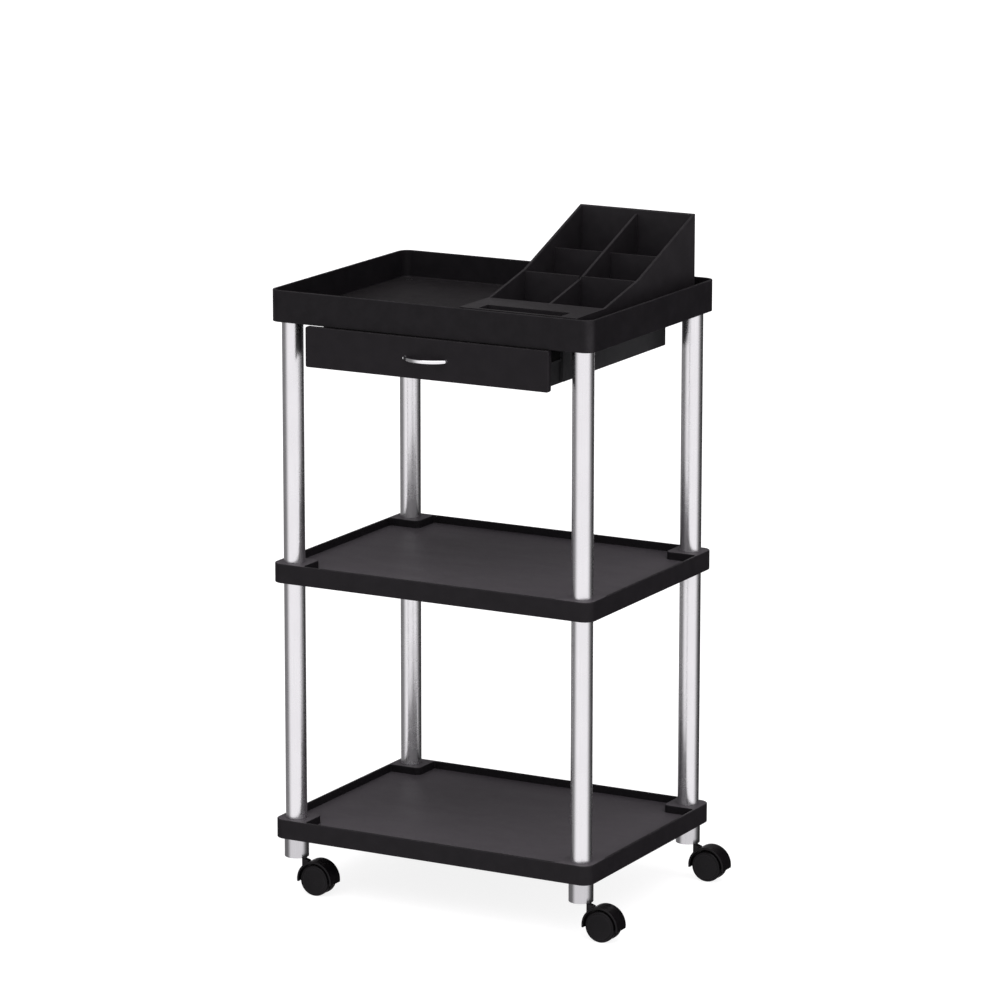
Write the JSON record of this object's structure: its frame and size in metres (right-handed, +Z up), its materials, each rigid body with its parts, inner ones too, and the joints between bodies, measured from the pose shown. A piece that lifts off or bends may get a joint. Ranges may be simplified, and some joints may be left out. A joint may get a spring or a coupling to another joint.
{
  "type": "coffee cart",
  "caption": "Rolling coffee cart with open shelves, a top tray with a lift-out condiment organiser, and a shallow drawer under the tray.",
  "frame": {"origin": "on the floor, under the middle of the whole cart's bounding box", "axes": "+Z up, +X to the cart's right as seen from the drawer side, -Y out of the drawer front"},
  "size_m": [0.5472, 0.4054, 0.9692],
  "materials": {
    "tray_plastic": "fine moulded grain, low sheen",
    "shelf_plastic": "fine moulded grain, low sheen",
    "pole_metal": "satin silver lacquer over tube",
    "sleeve_metal": "satin silver",
    "plug_plastic": "plain moulded",
    "runner_plastic": "plain moulded",
    "drawer_plastic": "plain moulded",
    "front_plastic": "fine moulded grain, low sheen",
    "handle_chrome": "polished",
    "organiser_plastic": "fine moulded grain, low sheen",
    "foot_rubber": "plain",
    "hood_plastic": "smooth moulded",
    "wheel_plastic": "smooth moulded nylon",
    "stem_steel": "turned, zinc plated",
    "screw_steel": "zinc plated"
  },
  "bodies": {
    "chassis": {"top_tray": "tray_plastic", "middle_shelf": "shelf_plastic", "bottom_shelf": "shelf_plastic", "upper_pole_fl": "pole_metal", "upper_pole_fr": "pole_metal", "upper_pole_rl": "pole_metal", "upper_pole_rr": "pole_metal", "lower_pole_fl": "pole_metal", "lower_pole_fr": "pole_metal", "lower_pole_rl": "pole_metal", "lower_pole_rr": "pole_metal", "leg_sleeve_fl": "sleeve_metal", "leg_sleeve_fr": "sleeve_metal", "leg_sleeve_rl": "sleeve_metal", "leg_sleeve_rr": "sleeve_metal", "top_plug_fl": "plug_plastic", "top_plug_fr": "plug_plastic", "top_plug_rl": "plug_plastic", "top_plug_rr": "plug_plastic", "coupler_fl": "plug_plastic", "coupler_fr": "plug_plastic", "coupler_rl": "plug_plastic", "coupler_rr": "plug_plastic", "sleeve_plug_fl": "plug_plastic", "sleeve_plug_fr": "plug_plastic", "sleeve_plug_rl": "plug_plastic", "sleeve_plug_rr": "plug_plastic", "runner_left": "runner_plastic", "runner_right": "runner_plastic", "tray_screws": "screw_steel", "runner_screws": "screw_steel"},
    "drawer": {"drawer_box": "drawer_plastic", "drawer_side_left": "drawer_plastic", "drawer_side_right": "drawer_plastic", "drawer_front": "front_plastic", "drawer_handle": "handle_chrome", "handle_screws": "screw_steel"},
    "organiser": {"organiser": "organiser_plastic", "organiser_feet": "foot_rubber"},
    "caster_fl": {"caster_hood_fl": "hood_plastic", "caster_stem_fl": "stem_steel", "caster_axle_fl": "stem_steel"},
    "wheel_front_fl": {"wheel_front_fl": "wheel_plastic"},
    "wheel_rear_fl": {"wheel_rear_fl": "wheel_plastic"},
    "caster_fr": {"caster_hood_fr": "hood_plastic", "caster_stem_fr": "stem_steel", "caster_axle_fr": "stem_steel"},
    "wheel_front_fr": {"wheel_front_fr": "wheel_plastic"},
    "wheel_rear_fr": {"wheel_rear_fr": "wheel_plastic"},
    "caster_rl": {"caster_hood_rl": "hood_plastic", "caster_stem_rl": "stem_steel", "caster_axle_rl": "stem_steel"},
    "wheel_front_rl": {"wheel_front_rl": "wheel_plastic"},
    "wheel_rear_rl": {"wheel_rear_rl": "wheel_plastic"},
    "caster_rr": {"caster_hood_rr": "hood_plastic", "caster_stem_rr": "stem_steel", "caster_axle_rr": "stem_steel"},
    "wheel_front_rr": {"wheel_front_rr": "wheel_plastic"},
    "wheel_rear_rr": {"wheel_rear_rr": "wheel_plastic"}
  },
  "joints": [
    {"name": "drawer_slide", "type": "slide", "parent": "chassis", "child": "drawer", "axis": [0, -1, 0], "range_m": [-0.0054, 0.26]},
    {"name": "organiser_lift", "type": "slide", "parent": "chassis", "child": "organiser", "axis": [0, 0, 1], "range_m": [0, 0.16]},
    {"name": "swivel_fl", "type": "hinge", "parent": "chassis", "child": "caster_fl", "pos_m": [-0.23584, -0.1538, 0.0526], "axis": [0, 0, 1], "continuous": true},
    {"name": "spin_front_fl", "type": "hinge", "parent": "caster_fl", "child": "wheel_front_fl", "pos_m": [-0.21344, -0.1538, 0.0227], "axis": [0, 1, 0], "continuous": true},
    {"name": "spin_rear_fl", "type": "hinge", "parent": "caster_fl", "child": "wheel_rear_fl", "pos_m": [-0.21344, -0.1538, 0.0227], "axis": [0, 1, 0], "continuous": true},
    {"name": "swivel_fr", "type": "hinge", "parent": "chassis", "child": "caster_fr", "pos_m": [0.22316, -0.1538, 0.0526], "axis": [0, 0, 1], "continuous": true},
    {"name": "spin_front_fr", "type": "hinge", "parent": "caster_fr", "child": "wheel_front_fr", "pos_m": [0.24556, -0.1538, 0.0227], "axis": [0, 1, 0], "continuous": true},
    {"name": "spin_rear_fr", "type": "hinge", "parent": "caster_fr", "child": "wheel_rear_fr", "pos_m": [0.24556, -0.1538, 0.0227], "axis": [0, 1, 0], "continuous": true},
    {"name": "swivel_rl", "type": "hinge", "parent": "chassis", "child": "caster_rl", "pos_m": [-0.23584, 0.1782, 0.0526], "axis": [0, 0, 1], "continuous": true},
    {"name": "spin_front_rl", "type": "hinge", "parent": "caster_rl", "child": "wheel_front_rl", "pos_m": [-0.21344, 0.1782, 0.0227], "axis": [0, 1, 0], "continuous": true},
    {"name": "spin_rear_rl", "type": "hinge", "parent": "caster_rl", "child": "wheel_rear_rl", "pos_m": [-0.21344, 0.1782, 0.0227], "axis": [0, 1, 0], "continuous": true},
    {"name": "swivel_rr", "type": "hinge", "parent": "chassis", "child": "caster_rr", "pos_m": [0.22316, 0.1782, 0.0526], "axis": [0, 0, 1], "continuous": true},
    {"name": "spin_front_rr", "type": "hinge", "parent": "caster_rr", "child": "wheel_front_rr", "pos_m": [0.24556, 0.1782, 0.0227], "axis": [0, 1, 0], "continuous": true},
    {"name": "spin_rear_rr", "type": "hinge", "parent": "caster_rr", "child": "wheel_rear_rr", "pos_m": [0.24556, 0.1782, 0.0227], "axis": [0, 1, 0], "continuous": true}
  ]
}
